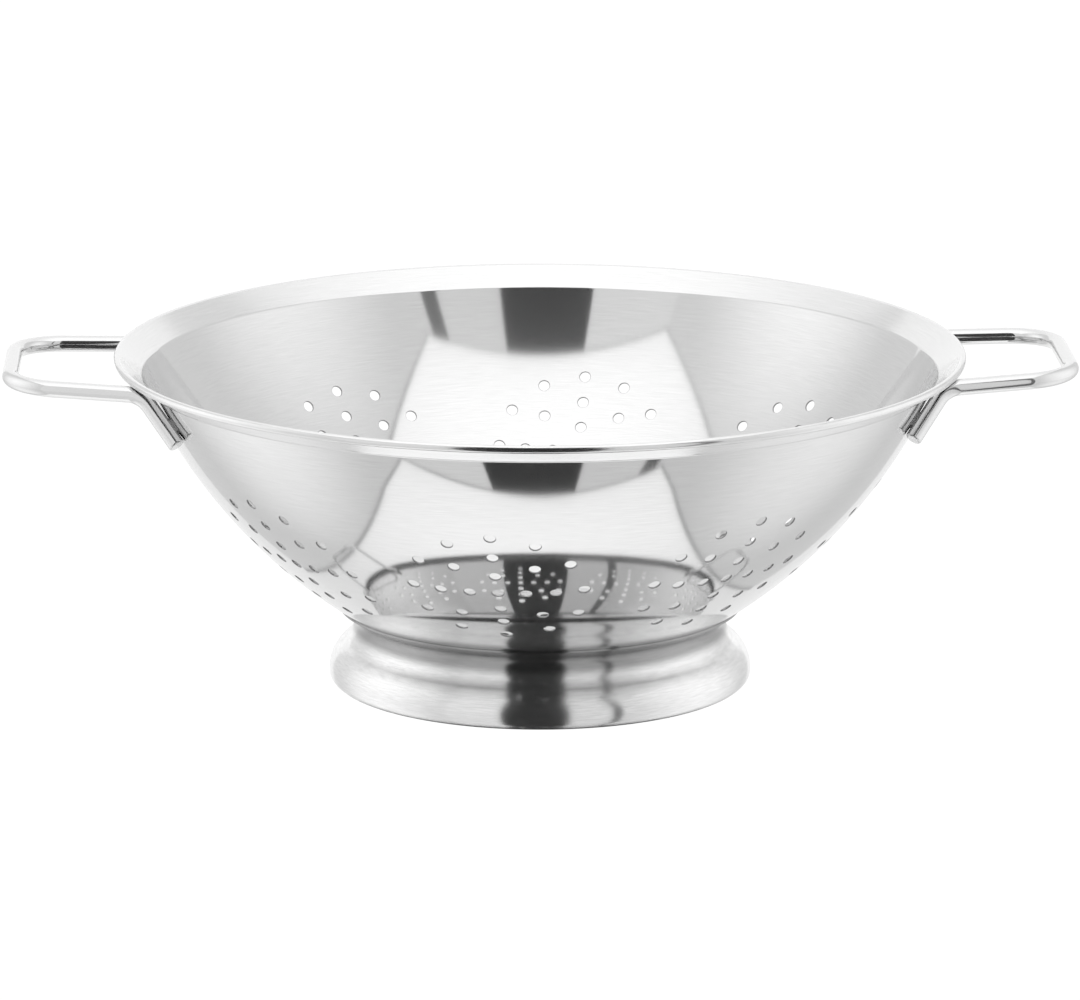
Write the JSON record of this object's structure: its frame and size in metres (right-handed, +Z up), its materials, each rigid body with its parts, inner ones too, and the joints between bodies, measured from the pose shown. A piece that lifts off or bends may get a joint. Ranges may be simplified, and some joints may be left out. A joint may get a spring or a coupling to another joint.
{
  "type": "colander",
  "caption": "Deep perforated steel bowl on a foot ring with two wire handles, for draining pasta and washing produce.",
  "frame": {"origin": "middle of the foot ring's resting face, which is the middle of the bottom of the bounding box", "axes": "+Z up along the bowl's axis; the two handles point along -X (left) and +X (right)"},
  "size_m": [0.3268, 0.26, 0.103],
  "materials": {
    "bowl_steel": "stainless sheet, polished",
    "foot_steel": "stainless sheet, spun with fine turning lines",
    "wire_steel": "stainless wire, mirror polished",
    "weld_metal": "resistance weld, dull"
  },
  "bodies": {
    "root": {"bowl": "bowl_steel", "foot_ring": "foot_steel", "left_handle": "wire_steel", "right_handle": "wire_steel", "left_handle_welds": "weld_metal", "right_handle_welds": "weld_metal", "foot_welds": "weld_metal"}
  },
  "joints": []
}
